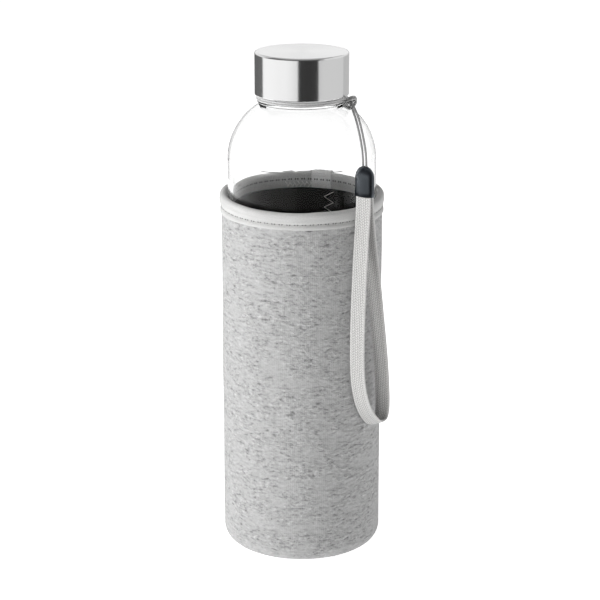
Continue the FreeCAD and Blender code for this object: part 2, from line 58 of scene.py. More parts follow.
# %% Camera
lens = bpy.data.cameras.new("camera")
lens.sensor_width = 36
lens.lens = 121.5
lens.clip_start = 0.01
camera = bpy.data.objects.new("camera", lens)
camera.location = (-0.00076, -0.850, 0.3648)
camera.rotation_euler = (math.radians(90 - 16.68), 0, 0)
scene.collection.objects.link(camera)
scene.camera = camera
print("camera at", tuple(camera.location))

# %% [markdown]
# ## Materials: the helpers
# Every finish here is one Principled shader. Patterns come from a few texture nodes, and this helper keeps each of
# them to one line: it makes a node, sets its options, and links or fills in its inputs.

# %% Node helpers
def finish(name, colour, roughness, **sockets):
    """A new material and its shader, with plain values on the shader's own sockets."""
    material = bpy.data.materials.new(name)
    material.use_nodes = True
    shader = material.node_tree.nodes["Principled BSDF"]
    shader.inputs["Base Color"].default_value = (*colour, 1)
    shader.inputs["Roughness"].default_value = roughness
    for label, value in sockets.items():
        shader.inputs[label.replace("_", " ")].default_value = value
    return material, shader


def add(material, kind, inputs=None, **options):
    """One more node. An input is either a value or the socket that feeds it."""
    made = material.node_tree.nodes.new("ShaderNode" + kind)
    for label, value in options.items():
        setattr(made, label, value)
    for label, value in (inputs or {}).items():
        if isinstance(value, bpy.types.NodeSocket):
            material.node_tree.links.new(value, made.inputs[label])
        else:
            made.inputs[label].default_value = value
    return made


def link(material, source, target):
    material.node_tree.links.new(source, target)


# %% [markdown]
# ## Materials: the patterns
# A pattern is a value for each spot of a surface. Noise serves for cloth and plastic, a sine for what repeats. A
# drawn image could do it too, but it blurs close up; these are worked out afresh at any distance.

# %% Pattern helpers
def place(material, scale, kind="UV"):
    """Pattern coordinates: the piece's own UV map or its Object coordinates, in metres, times a scale."""
    source = add(material, "TexCoord").outputs[kind]
    return add(material, "Mapping", {"Vector": source, "Scale": scale}).outputs["Vector"]


def cloud(material, vector, detail=2.0, roughness=0.5):
    return add(
        material, "TexNoise", {"Vector": vector, "Scale": 1.0, "Detail": detail, "Roughness": roughness}
    ).outputs[0]


def sums(material, operation, a, b=0.0):
    made = add(material, "Math", {0: a, 1: b}, operation=operation)
    return made.outputs[0]


def ramp(material, value, stops):
    """Turns a value into a shade: stops are (position, grey or colour)."""
    made = add(material, "ValToRGB", {"Fac": value})
    bar = made.color_ramp
    while len(bar.elements) < len(stops):
        bar.elements.new(0.5)
    for element, (position, shade) in zip(bar.elements, stops):
        element.position = position
        shade = shade if isinstance(shade, tuple) else (shade, shade, shade)
        element.color = (*shade, 1)
    return made.outputs["Color"]


def mixed(material, factor, a, b, blend="MIX"):
    made = add(material, "MixRGB", {"Fac": factor, "Color1": a, "Color2": b}, blend_type=blend)
    return made.outputs["Color"]


def bumped(material, shader, height, depth, strength=1.0):
    """Gives the shader a relief: height is a pattern, depth is in metres."""
    made = add(material, "Bump", {"Height": height, "Distance": depth, "Strength": strength})
    link(material, made.outputs["Normal"], shader.inputs["Normal"])


def roughened(material, shader, pattern, low, high):
    """Lets a pattern move the shader's roughness between two values."""
    span = {"Value": pattern, "From Min": 0.3, "From Max": 0.7, "To Min": low, "To Max": high}
    link(material, add(material, "MapRange", span).outputs[0], shader.inputs["Roughness"])


def from_axis(material, spot):
    """The distance from the upright axis of a spot whose X, Y and Z are already separate."""
    flat = add(material, "CombineXYZ", {"X": spot.outputs["X"], "Y": spot.outputs["Y"]}).outputs[0]
    return add(material, "VectorMath", {0: flat}, operation="LENGTH").outputs["Value"]


def wave(material, value, turns):
    """A sine from -1 to 1 that repeats `turns` times for each unit of value."""
    return sums(material, "SINE", sums(material, "MULTIPLY", value, turns * 2 * math.pi))


# %% [markdown]
# ## The cord, the strap's webbing and their finishes
# The cord is a silver-grey braid under a millimetre thick. Modelled strands would cost many faces for little, so
# they are stripes that wind round it. The strap is a flat braid of pale yarn. Its ridges are real geometry, so the
# material adds painted shade in the gaps and breaks up the yarn.

# %% Cord and strap finishes
def strand_finish(name, colour, dark, twist, roughness, metallic):
    """Yarn that winds round a cord: slanting stripes on a UV map that is one wide and metres long."""
    material, shader = finish(name, colour, roughness, Metallic=metallic)
    split = add(material, "SeparateXYZ", {"Vector": add(material, "TexCoord").outputs["UV"]})
    around, along_it = split.outputs["X"], split.outputs["Y"]
    slant = sums(material, "ADD", sums(material, "MULTIPLY", along_it, twist), around)
    ridge = sums(material, "ABSOLUTE", wave(material, slant, 1.5))
    shade = ramp(material, ridge, [(0.0, dark), (0.45, tuple(colour)), (1.0, tuple(c * 1.12 for c in colour))])
    link(material, shade, shader.inputs["Base Color"])
    bumped(material, shader, ridge, 0.00006, 0.7)
    return material


cord_finish = strand_finish("silver_cord", (0.64, 0.64, 0.64), 0.2, 620, 0.36, 0.3)
# Painted shade: the legs and the hitch are the same cord as the neck turns, in a darker copy of its finish.
shaded_cord_finish = strand_finish("shaded_silver_cord", (0.42, 0.42, 0.42), 0.09, 620, 0.36, 0.35)
print("cord finishes ready")

strap_finish, strap_shader = finish("pale_webbing", (0.62, 0.61, 0.59), 0.85, Sheen_Weight=0.25)
# Painted shade: the deeper a spot lies between the ridges (its dip), the darker its colour.
strap_dip = add(strap_finish, "Attribute", attribute_name="dip").outputs["Fac"]
strap_yarn = cloud(strap_finish, place(strap_finish, (9.0, 2600.0, 1.0)), 3.0)
strap_gap_shade = ramp(
    strap_finish, strap_dip, [(0.0, (0.68, 0.675, 0.665)), (0.25, (0.6, 0.595, 0.585)), (0.55, (0.2, 0.198, 0.194))]
)
strap_tint = ramp(strap_finish, strap_yarn, [(0.3, 0.78), (0.7, 1.0)])
link(strap_finish, mixed(strap_finish, 1.0, strap_gap_shade, strap_tint, "MULTIPLY"), strap_shader.inputs["Base Color"])
bumped(strap_finish, strap_shader, strap_yarn, 0.00004, 0.6)
print("strap finish ready")

# %% [markdown]
# ## Pieces that follow a line
# A cord is a section carried along a smooth line. The line is a NURBS spline through which a handful of control
# points pull, and the skin is a grid: one side of the grid goes round the section, the other along the line. A
# bevelled curve is quicker, but its section can't change on the way, as the strap's has to.

# %% Line helpers
def piece_from(name, bm, material, smooth=True):
    mesh = bpy.data.meshes.new(name)
    bm.to_mesh(mesh)
    bm.free()
    mesh.materials.append(material)
    mesh.polygons.foreach_set("use_smooth", [smooth] * len(mesh.polygons))
    piece = bpy.data.objects.new(name, mesh)
    scene.collection.objects.link(piece)
    print(f"{name}: {len(mesh.polygons)} faces")
    return piece


def smooth_line(name, route, closed=False):
    """The points of the NURBS line that the route pulls into shape."""
    curve = bpy.data.curves.new(name, "CURVE")
    curve.dimensions = "3D"
    spline = curve.splines.new("NURBS")
    spline.points.add(len(route) - 1)
    for point, corner in zip(spline.points, route):
        point.co = (*corner, 1)
    spline.order_u = 3
    spline.use_endpoint_u = not closed
    spline.use_cyclic_u = closed
    spline.resolution_u = 32
    holder = bpy.data.objects.new(name, curve)
    scene.collection.objects.link(holder)
    line = bpy.data.meshes.new_from_object(holder)
    points = [v.co.copy() for v in line.vertices]
    bpy.data.objects.remove(holder)
    return points + points[:1] if closed else points


def stations(points, count):
    """Evenly spaced places on a line: (place, direction, distance so far)."""
    reach = [0.0]
    for a, b in zip(points, points[1:]):
        reach.append(reach[-1] + (b - a).length)
    places, i = [], 0
    for k in range(count + 1):
        want = reach[-1] * k / count
        while i < len(points) - 2 and reach[i + 1] < want:
            i += 1
        share = (want - reach[i]) / max(reach[i + 1] - reach[i], 1e-9)
        places.append((points[i].lerp(points[i + 1], share), want))
    found = []
    for k, (where, gone) in enumerate(places):
        before, after = places[max(k - 1, 0)][0], places[min(k + 1, count)][0]
        found.append((where, (after - before).normalized(), gone))
    return found


# %% Skin helpers
def skin(name, line, around, count, section, material, side=None, closed=False):
    """Carries section(u, distance) -> (sideways, outwards, dip) along a line. side(distance), where it is given,
    fixes the sideways direction."""
    walk = stations(line, count)
    frames = []
    across = walk[0][1].orthogonal().normalized()
    for where, ahead, gone in walk:
        across = side(gone) if side else across
        across = (across - ahead * across.dot(ahead)).normalized()
        frames.append((where, across, ahead.cross(across), gone))
    bm = bmesh.new()
    uv = bm.loops.layers.uv.new("UVMap")
    bmesh.ops.create_grid(bm, x_segments=around, y_segments=count, size=0.5, calc_uvs=True)
    total = walk[-1][2]
    for loop in (l for face in bm.faces for l in face.loops):
        loop[uv].uv = (loop.vert.co.x + 0.5, (loop.vert.co.y + 0.5) * total)
    shade = bm.verts.layers.float.new("dip")
    for vertex in bm.verts:
        u, k = vertex.co.x + 0.5, round((vertex.co.y + 0.5) * count)
        where, sideways, outwards, gone = frames[k]
        a, b, dip = section(u % 1.0, gone)
        vertex.co = where + sideways * a + outwards * b
        vertex[shade] = dip
    bmesh.ops.remove_doubles(bm, verts=bm.verts, dist=1e-6)
    if not closed:
        bmesh.ops.holes_fill(bm, edges=[e for e in bm.edges if e.is_boundary], sides=0)
    bmesh.ops.recalc_face_normals(bm, faces=bm.faces)
    return piece_from(name, bm, material)


def round_section(radius):
    """A plain round section, the same all along the line."""

    def section(u, gone):
        turn = 2 * math.pi * u
        return radius * math.cos(turn), radius * math.sin(turn), 0.0

    return section


# %% [markdown]
# ## The cord round the neck
# One cord makes two turns round the glass, just under the lid, and both ends come out at the hitch. Sixteen points a
# turn keep a NURBS line round. Its corners are pulled out a little, because the line runs inside them. The second
# turn climbs onto the first close to the hitch.

# %% Neck cord
cord_d = 0.95 * MM
hitch_at = Vector((21.183, -5.676, 200.24)) * MM
ring_r = 18.97 * MM
start_turn = math.atan2(hitch_at.y, hitch_at.x)
TURN_POINTS = 16
FIRST_TURN_Z, TURN_RISE = 200.03, 1.0
CLIMB_FROM, CLIMB_LONG = 0.9, 0.2
pull = 1 / (0.75 + 0.25 * math.cos(2 * math.pi / TURN_POINTS))


def neck_route():
    tail_low = hitch_at + Vector((-0.6, -1.1, -0.25)) * MM
    tail_high = hitch_at + Vector((-0.5, 1.1, 0.55)) * MM
    points = [tail_low]
    for k in range(1, 2 * TURN_POINTS):
        turn = start_turn + 2 * math.pi * k / TURN_POINTS
        share = min(max((k / TURN_POINTS - CLIMB_FROM) / CLIMB_LONG, 0.0), 1.0)
        height = (FIRST_TURN_Z + share * TURN_RISE) * MM
        reach = ring_r * pull
        points.append(Vector((reach * math.cos(turn), reach * math.sin(turn), height)))
    return points + [tail_high]


neck_line = smooth_line("neck_line", neck_route())
neck_length = stations(neck_line, 400)[-1][2]
neck_cord = skin("neck_cord_turns", neck_line, 12, 520, round_section(cord_d / 2), cord_finish)
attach(neck_cord, "neck_loop")
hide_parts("neck_cord")
print("neck cord length", round(neck_length, 4))

# %% [markdown]
# ## The hitch
# Where the cord's bight goes round itself it makes a small knot that stands out from the neck: two closed loops, one
# above the other, with a short strand across. A tied knot would need a simulation, and at this size loops that touch
# already read as one. `along` and `across` are the level directions of the strap's loop and of its width.

# %% Hitch knot
along = Vector((0.61566, 0.78801, 0))
across = Vector((0.78801, -0.61566, 0))
legs_top = Vector((22.2, -9.3, 197.5)) * MM
hitch_axis = (legs_top - hitch_at).normalized()
hitch_side = (along - hitch_axis * along.dot(hitch_axis)).normalized()
hitch_out = hitch_axis.cross(hitch_side)
if hitch_out.dot(Vector((1, -0.3, 0))) < 0:
    hitch_out.negate()
knot_at = hitch_at + Vector((-0.8, -0.2, -0.8)) * MM
KNOT_SCALE = 1.2
KNOT_GAP = 0.95


def hitch_point(a, b, c):
    """A point of the knot, by its place along the loop's width, its length outwards, and its axis."""
    return knot_at + (hitch_side * a + hitch_out * b + hitch_axis * c) * KNOT_SCALE * MM


hitch_route = [
    hitch_point(-1.9, -1.2, -0.1),
    hitch_point(-2.1, 0.6, 0.3),
    hitch_point(-1.2, 2.3, 0.2),
    hitch_point(0.4, 2.6, -0.3),
    hitch_point(1.9, 1.5, -0.4),
    hitch_point(2.1, -0.4, 0.1),
    hitch_point(1.2, -1.9, 0.5),
    hitch_point(-0.4, -2.3, 0.3),
]
hitch_line = smooth_line("hitch_line", hitch_route, closed=True)
hitch_knot = skin("hitch_loop", hitch_line, 12, 60, round_section(cord_d / 2), shaded_cord_finish, closed=True)
second_shift = (hitch_axis * KNOT_GAP - hitch_out * 0.35) * MM
second_route = [point + second_shift for point in hitch_route[2:] + hitch_route[:2]]
second_line = smooth_line("second_line", second_route, closed=True)
hitch_second = skin("hitch_second", second_line, 12, 60, round_section(cord_d / 2), shaded_cord_finish, closed=True)
cross_route = [
    hitch_point(-1.5, -1.0, 0.9),
    hitch_point(-0.7, 0.2, 1.1),
    hitch_point(0.2, 1.3, 0.9),
    hitch_point(1.2, 1.0, 0.3),
    hitch_point(1.5, 0.1, -0.6),
]
cross_line = smooth_line("cross_line", cross_route)
hitch_cross = skin("hitch_cross", cross_line, 12, 24, round_section(cord_d / 2), shaded_cord_finish)
for loop_piece in (hitch_knot, hitch_second, hitch_cross):
    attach(loop_piece, "neck_loop")
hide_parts("cord_hitch")

# %% [markdown]
# ## The two legs of the cord
# From the hitch the doubled cord falls over the shoulder of the glass to the black cord end. The two legs keep a
# small distance from each other, so each has its own line, on either side of the same points.

# %% Cord legs
leg_route = [
    (Vector((20.3, -6.2, 199.7)), 0.45),
    (Vector((21.0, -8.2, 198.6)), 0.6),
    (Vector((21.9, -10.2, 197.0)), 0.75),
    (Vector((23.1, -13.6, 194.3)), 0.85),
    (Vector((24.3, -19.6, 190.4)), 0.85),
    (Vector((25.3, -26.9, 186.0)), 0.85),
    (Vector((26.0, -30.7, 181.2)), 0.85),
    (Vector((26.1, -31.158, 174.0)), 0.85),
]
for leg_name, node, leg_side in (("leg_left", "cord_leg_left", -1), ("leg_right", "cord_leg_right", 1)):
    leg_points = [(middle + across * (leg_side * half)) * MM for middle, half in leg_route]
    leg_line = smooth_line(leg_name + "_line", leg_points)
    leg = skin(leg_name, leg_line, 12, 90, round_section(cord_d / 2), shaded_cord_finish)
    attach(leg, "strap")
    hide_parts(node)
    leg_length = stations(leg_line, 200)[-1][2]
    print(leg_name, "length", round(leg_length, 4))

# %% [markdown]
# ## The wrist strap
# A flat braid, 7.5 mm wide, folded into a long loop. Both ends go up into the cord end. Seven columns of slanting
# stitches show on each face, with a rounded selvage at both edges. They could be bump, but then the outline would
# look cut with a knife. The band turns a little at the bottom of the loop.

# %% Strap
end_mid = Vector((26.1, -31.158, 164.0))
strap_wide, strap_thick = 7.5 * MM, 1.3 * MM
strap_route = [
    (-0.85, 170.4),
    (-0.4, 163.0),
    (-1.5, 150.0),
    (-3.2, 128.0),
    (-4.3, 105.0),
    (-4.1, 88.0),
    (-2.2, 78.0),
    (0.6, 71.2),
    (4.6, 65.6),
    (9.0, 61.6),
    (13.2, 61.6),
    (14.9, 66.6),
    (14.3, 78.0),
    (12.7, 92.0),
    (10.4, 106.0),
    (7.0, 127.0),
    (2.8, 149.0),
    (0.9, 163.0),
    (0.85, 170.4),
]
strap_points = [(end_mid + along * u + UP * (z - end_mid.z)) * MM for u, z in strap_route]
strap_line = smooth_line("strap_line", strap_points)
strap_length = stations(strap_line, 800)[-1][2]
COLUMNS = 7
RIDGE_PITCH = 1.15 * MM
RIDGE_SLANT = 0.65
BRAIDED = 0.86
TILT = math.radians(22)
TILT_REACH = 0.13


def strap_side(gone):
    """The band's width direction: level, but tilted near the bottom of the loop."""
    near = math.exp(-(((gone / strap_length - 0.5) / TILT_REACH) ** 2))
    return across * math.cos(TILT * near) + UP * math.sin(TILT * near)


def strap_section(u, gone):
    """A flat oval whose faces carry the braid's slanting ridges. BRAIDED is the share of the width they cover."""
    face, share = (1, u * 2) if u < 0.5 else (-1, (u - 0.5) * 2)
    spread = 1 - math.cos(math.pi * share)
    wide = (0.25 * (spread - 1) + 0.75 * (2 * share - 1)) * face
    edge = min(abs(wide), 1.0)
    high = math.sqrt(max(1 - edge**8, 0.0))
    column = (wide + BRAIDED) / (2 * BRAIDED) * COLUMNS
    inside = 0.0 < column < COLUMNS
    part = column % 1.0
    slant = 1 if int(column) % 2 else -1
    ridge = abs(math.sin(math.pi * (gone / RIDGE_PITCH + slant * part * RIDGE_SLANT)))
    if inside:
        lift = (0.35 + 0.65 * ridge**0.6) * (0.35 + 0.65 * math.sin(math.pi * part) ** 0.5)
    else:
        lift = 0.72 + 0.2 * abs(math.sin(math.pi * gone / (0.7 * RIDGE_PITCH)))
    half = strap_thick / 2 - 0.16 * MM * (1 - lift)
    return wide * strap_wide / 2, face * high * half, 1 - lift


strap_band = skin("strap_band", strap_line, 96, 860, strap_section, strap_finish, side=strap_side)
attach(strap_band, "strap")
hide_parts("wrist_strap")
print("strap length", round(strap_length, 4))

# %% [markdown]
# ## The jersey's finish
# Heather jersey is knitted from yarns of mixed greys, so its shade changes in short level streaks with a fine grain
# over them. The pattern lives on a UV map in metres, wrapped round the sleeve, which keeps the streaks level.
# A second, slower noise calms some patches, as in real yarn.

# %% Jersey finish
jersey, jersey_shader = finish(
    "heather_jersey", (0.4, 0.4, 0.4), 0.95, Specular_IOR_Level=0.2, Sheen_Weight=0.12, Sheen_Roughness=0.6
)
dashes = cloud(jersey, place(jersey, (270.0, 720.0, 1.0)), 2.0, 0.55)
grain = cloud(jersey, place(jersey, (600.0, 980.0, 1.0)), 3.0, 0.65)
calm = ramp(jersey, cloud(jersey, place(jersey, (95.0, 150.0, 1.0)), 2.0), [(0.38, 0.45), (0.54, 1.0)])
dash_shade = ramp(jersey, dashes, [(0.3, 0.5), (0.42, 0.9), (0.55, 1.0), (0.74, 1.2)])
grain_shade = ramp(jersey, grain, [(0.28, 0.42), (0.43, 0.92), (0.58, 1.05), (0.74, 1.5)])
specks = mixed(jersey, calm, (1.0, 1.0, 1.0, 1), mixed(jersey, 1.0, dash_shade, grain_shade, "MULTIPLY"))
link(jersey, mixed(jersey, 1.0, specks, (0.425, 0.425, 0.425, 1), "MULTIPLY"), jersey_shader.inputs["Base Color"])
knit = add(jersey, "SeparateXYZ", {"Vector": add(jersey, "TexCoord").outputs["UV"]})
wales = sums(jersey, "ABSOLUTE", wave(jersey, knit.outputs["X"], 1 / (1.7 * MM)))
courses = sums(jersey, "ABSOLUTE", wave(jersey, knit.outputs["Y"], 1 / (1.3 * MM)))
loops = sums(jersey, "MULTIPLY", sums(jersey, "MULTIPLY", wales, courses), 0.15)
fuzz = sums(jersey, "MULTIPLY", sums(jersey, "ADD", sums(jersey, "MULTIPLY", grain, 1.7), dashes), calm)
bumped(jersey, jersey_shader, sums(jersey, "ADD", loops, fuzz), 0.00045, 1.0)
print("jersey finish ready")

# %% [markdown]
# ## The lining's finish
# Black knit inside the sleeve. It has almost no shine, because a black with shine turns grey through the glass.

# %% Lining finish
lining_knit, lining_shader = finish("black_lining", (0.008, 0.008, 0.008), 1.0, Specular_IOR_Level=0.02)
lining_grain = cloud(lining_knit, place(lining_knit, (420.0, 620.0, 1.0)), 2.0)
lining_shade = ramp(lining_knit, lining_grain, [(0.3, 0.006), (0.7, 0.011)])
link(lining_knit, lining_shade, lining_shader.inputs["Base Color"])
bumped(lining_knit, lining_shader, lining_grain, 0.00006, 0.4)

# %% [markdown]
# ## The binding tape's finish
# A smooth pale tape with a needle hole at each end of every stitch. Cut holes would need a very fine mesh, so they
# are dots of painted shade, placed by the same pitch as the stitches. Inside, where its ends lap, painted light
# makes the tape paler.

# %% Binding tape finish
TAPE_R = 35.2
STITCHES = 67
STITCH_Z = 153.4
STITCH_PITCH = 2 * math.pi * TAPE_R * MM / STITCHES
STITCH_HALF = 1.05 * MM
LAP_TURN = math.radians(3.5)
binding, binding_shader = finish("binding_tape", (0.52, 0.52, 0.515), 0.75, Sheen_Weight=0.1)
tape_weave = cloud(binding, place(binding, (1500.0, 2600.0, 1.0)), 2.0)
tape_folds = cloud(binding, place(binding, (70.0, 500.0, 1.0)), 2.0)
tape_shade = ramp(binding, tape_weave, [(0.3, (0.5, 0.5, 0.495)), (0.7, (0.58, 0.58, 0.572))])
tape_shade = mixed(binding, 1.0, tape_shade, ramp(binding, tape_folds, [(0.3, 0.86), (0.65, 1.0)]), "MULTIPLY")
tape_at = add(binding, "SeparateXYZ", {"Vector": add(binding, "TexCoord").outputs["UV"]})
# Painted shade: a dark dot at each end of every stitch, where the holes would hold shade.
from_stitch = sums(binding, "PINGPONG", tape_at.outputs["X"], STITCH_PITCH / 2)
aside = sums(binding, "SUBTRACT", from_stitch, STITCH_HALF)
above = sums(binding, "SUBTRACT", tape_at.outputs["Y"], STITCH_Z * MM)
offset = add(binding, "CombineXYZ", {"X": aside, "Y": above}).outputs[0]
from_hole = add(binding, "VectorMath", {0: offset}, operation="LENGTH").outputs["Value"]
needle = ramp(binding, sums(binding, "MULTIPLY", from_hole, 1000.0), [(0.22, 1.0), (0.5, 0.0)])
tape_shade = mixed(binding, needle, tape_shade, (0.05, 0.05, 0.05, 1))
# Painted light: over the lap, on the tape's inner side only, the colour is made up to 1.6 times paler.
past_lap = sums(binding, "SUBTRACT", tape_at.outputs["X"], LAP_TURN * TAPE_R * MM)
from_lap_middle = sums(binding, "PINGPONG", past_lap, math.pi * TAPE_R * MM)
lap_light_edge = sums(binding, "ADD", sums(binding, "MULTIPLY", tape_folds, 0.0012), from_lap_middle)
lap_painted_light = ramp(binding, sums(binding, "MULTIPLY", lap_light_edge, 100.0), [(0.54, 1.6), (0.6, 1.0)])
tape_spot = add(binding, "SeparateXYZ", {"Vector": add(binding, "TexCoord").outputs["Object"]})
tape_reach = sums(binding, "MULTIPLY", from_axis(binding, tape_spot), 10.0)
inner_side = ramp(binding, tape_reach, [(0.335, 1.0), (0.342, 0.0)])
lap_painted_light = mixed(binding, inner_side, (1, 1, 1, 1), lap_painted_light)
tape_shade = mixed(binding, 1.0, tape_shade, lap_painted_light, "MULTIPLY")
link(binding, tape_shade, binding_shader.inputs["Base Color"])
bumped(binding, binding_shader, sums(binding, "ADD", tape_weave, tape_folds), 0.00012, 0.6)

# %% [markdown]
# ## Foam and thread finishes
# The foam only shows at a cut edge, as dark cells. Thread is pale with a twist, shown by stretched noise.

# %% Foam and thread finishes
foam, foam_shader = finish("charcoal_foam", (0.035, 0.035, 0.037), 0.95)
foam_cells = cloud(foam, place(foam, (1600.0, 1600.0, 1600.0), "Object"), 3.0)
link(foam, ramp(foam, foam_cells, [(0.35, 0.02), (0.65, 0.05)]), foam_shader.inputs["Base Color"])
bumped(foam, foam_shader, foam_cells, 0.0002, 0.8)


def thread_finish(name, colour, dark):
    material, shader = finish(name, colour, 0.6, Sheen_Weight=0.2)
    ply = cloud(material, place(material, (2600.0, 2600.0, 5200.0), "Object"), 1.0)
    link(material, ramp(material, ply, [(0.35, dark), (0.6, colour)]), shader.inputs["Base Color"])
    bumped(material, shader, ply, 0.00004, 0.6)
    return material


grey_thread = thread_finish("grey_thread", (0.6, 0.6, 0.59), (0.42, 0.42, 0.41))
white_thread = thread_finish("white_thread", (0.86, 0.86, 0.84), (0.66, 0.66, 0.64))
print("cloth finishes ready")

# %% [markdown]
# ## The sleeve's walls
# The sleeve is a sandwich: jersey outside, thin foam, a black lining inside. Each layer is a profile spun round the
# bottle's axis. Cloth is never perfectly round, so every vertex is then eased a little in or out by a smooth noise,
# and the whole rim leans: it stands a little higher at the back than at the front. Simulated cloth would wrinkle on
# its own, but this cloth is stretched over foam, and there is nothing for it to drape on.

# %% Profile helpers
SEAM = math.radians(70)


def bend(centre, radius, start, stop, count):
    """Points on an arc, in degrees, for a profile of (radius, height)."""
    turns = (math.radians(start + (stop - start) * k / count) for k in range(count + 1))
    return [(centre[0] + radius * math.cos(t), centre[1] + radius * math.sin(t)) for t in turns]


def ladder(radius, low, high, step):
    """A straight run of a profile, with a point about every step."""
    count = max(1, round(abs(high - low) / step))
    return [(radius, low + (high - low) * k / count) for k in range(count + 1)]


def spun(profile, steps, closed=False, poles=False):
    """Turns a profile in millimetres round the axis, starting at the side seam."""
    bm = bmesh.new()
    corners = [bm.verts.new(Vector((r * math.cos(SEAM), r * math.sin(SEAM), z)) * MM) for r, z in profile]
    pairs = list(zip(corners, corners[1:] + (corners[:1] if closed else [])))
    edges = [bm.edges.new(pair) for pair in pairs if pair[0] != pair[1]]
    bmesh.ops.spin(
        bm, geom=corners + edges, cent=(0, 0, 0), axis=(0, 0, 1), angle=2 * math.pi, steps=steps, use_merge=True
    )
    if poles:
        bmesh.ops.remove_doubles(bm, verts=bm.verts, dist=1e-7)
    bmesh.ops.recalc_face_normals(bm, faces=bm.faces)
    return bm


def wrap_map(bm, radius):
    """A UV map in metres: round the sleeve from the seam, and up it."""
    uv = bm.loops.layers.uv.new("UVMap")
    for face in bm.faces:
        middle = face.calc_center_median()
        centre_turn = (math.atan2(middle.y, middle.x) - SEAM) % (2 * math.pi)
        for loop in face.loops:
            turn = (math.atan2(loop.vert.co.y, loop.vert.co.x) - SEAM) % (2 * math.pi)
            if turn - centre_turn > math.pi:
                turn -= 2 * math.pi
            elif centre_turn - turn > math.pi:
                turn += 2 * math.pi
            flat = loop.vert.co.xy.length
            loop[uv].uv = (turn * radius * MM, loop.vert.co.z + min(flat - radius * MM, 0.0))


# %% Helpers that settle the cloth
SLACK = 0.22
LEAN_BACK, LEAN_FRONT = 1.1, 1.6


def ease(low, high, value):
    """0 below low, 1 above high, and a smooth step between."""
    share = min(max((value - low) / (high - low), 0.0), 1.0)
    return share * share * (3 - 2 * share)


def settle(point, swell=SLACK):
    """Where a point of the sleeve ends up once the cloth has relaxed."""
    flat = Vector((point.x, point.y, 0))
    radius = flat.length
    if radius < 1e-6:
        return point.copy()
    turn = math.atan2(point.y, point.x)
    height = point.z / MM
    ring = Vector((math.cos(turn) * 1.6, math.sin(turn) * 1.6, height / 34))
    slack = noise.noise(ring) * ease(3, 30, height) * (1 - 0.6 * ease(135, 152, height))
    rimmed = ease(149, 158.5, height)
    uneven = noise.noise(Vector((math.cos(turn) * 2.2, math.sin(turn) * 2.2, 7)))
    lean = ((LEAN_BACK if turn > 0 else LEAN_FRONT) * math.sin(turn) + 0.25 * uneven) * rimmed
    return flat * ((radius + slack * swell * MM) / radius) + UP * (point.z + lean * MM)


def relax(bm, swell=SLACK):
    for vertex in bm.verts:
        vertex.co = settle(vertex.co, swell)


# %% [markdown]
# ## The three layers of the wall
# Each layer is closed: up one face, over the top, down the other, and round the corner under the foot. So each has
# its true thickness at the rim.

# %% Jersey wall
BASE_R = 28.3
CORNER = (BASE_R, 6.4)
JERSEY_R, LINING_R = 34.7, 32.5
jersey_profile = (
    [(BASE_R, 0.5), (BASE_R, 0.04)]
    + bend(CORNER, 6.4, -90, 0, 10)
    + ladder(JERSEY_R, 9.0, 148.0, 3.0)
    + [(34.68, 151.0), (34.66, 155.0), (34.62, 157.9), (34.2, 158.1)]
    + [(34.2, 155.0), (34.2, 150.0)]
    + ladder(34.2, 147.0, 9.0, 6.0)
    + bend(CORNER, 5.9, 0, -90, 8)[:-1]
)
bm = spun(jersey_profile, 192, closed=True)
wrap_map(bm, JERSEY_R)
relax(bm)
jersey_wall = piece_from("jersey_wall", bm, jersey)
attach(jersey_wall, "sleeve")
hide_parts("sleeve_jersey")

# %% Foam wall
foam_profile = (
    [(BASE_R, 1.9), (BASE_R, 0.52)]
    + bend(CORNER, 5.85, -90, 0, 8)[1:]
    + ladder(34.15, 9.0, 147.0, 6.0)
    + [(34.15, 151.0), (34.15, 157.8), (33.15, 157.8), (33.15, 151.0), (32.82, 146.5)]
    + ladder(32.82, 143.0, 9.0, 6.0)
    + bend(CORNER, 4.52, 0, -90, 8)[:-1]
)
bm = spun(foam_profile, 96, closed=True)
relax(bm, 0.1)
foam_wall = piece_from("foam_wall", bm, foam)
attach(foam_wall, "sleeve")
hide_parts("sleeve_foam")

# %% Lining wall
lining_profile = (
    [(BASE_R, 2.2), (BASE_R, 1.92)]
    + bend(CORNER, 4.48, -90, 0, 6)[1:]
    + ladder(32.78, 9.0, 143.0, 6.0)
    + [(32.8, 146.2), (33.38, 150.4), (33.38, 157.6), (33.1, 157.6), (33.1, 150.5), (32.52, 146.4)]
    + ladder(LINING_R, 143.0, 9.0, 6.0)
    + bend(CORNER, 4.2, 0, -90, 6)[:-1]
)
bm = spun(lining_profile, 160, closed=True)
wrap_map(bm, LINING_R)
relax(bm, 0.05)
lining_wall = piece_from("lining_wall", bm, lining_knit)
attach(lining_wall, "sleeve")
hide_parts("sleeve_lining")

# %% [markdown]
# ## The sleeve's base
# Three round layers close the bottom, sewn to the wall all round. A flat cylinder would do, but a profile spun to
# its pole takes the same helpers and map as the wall.

# %% Base layers
LAYER_R = 28.25


def base_layer(name, node, low, high, material):
    profile = [(0.0, low), (LAYER_R * 0.4, low), (LAYER_R * 0.8, low), (LAYER_R, low + 0.03)]
    profile += [(LAYER_R, high - 0.03), (LAYER_R * 0.8, high), (LAYER_R * 0.4, high), (0.0, high)]
    bm = spun(profile, 96, poles=True)
    wrap_map(bm, LAYER_R)
    piece = piece_from(name, bm, material)
    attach(piece, "sleeve")
    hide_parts(node)
    return piece


jersey_base = base_layer("jersey_base", "base_jersey", 0.0, 0.5, jersey)
foam_base = base_layer("foam_base", "base_foam", 0.52, 1.88, foam)
lining_base = base_layer("lining_base", "base_lining", 1.9, 2.2, lining_knit)
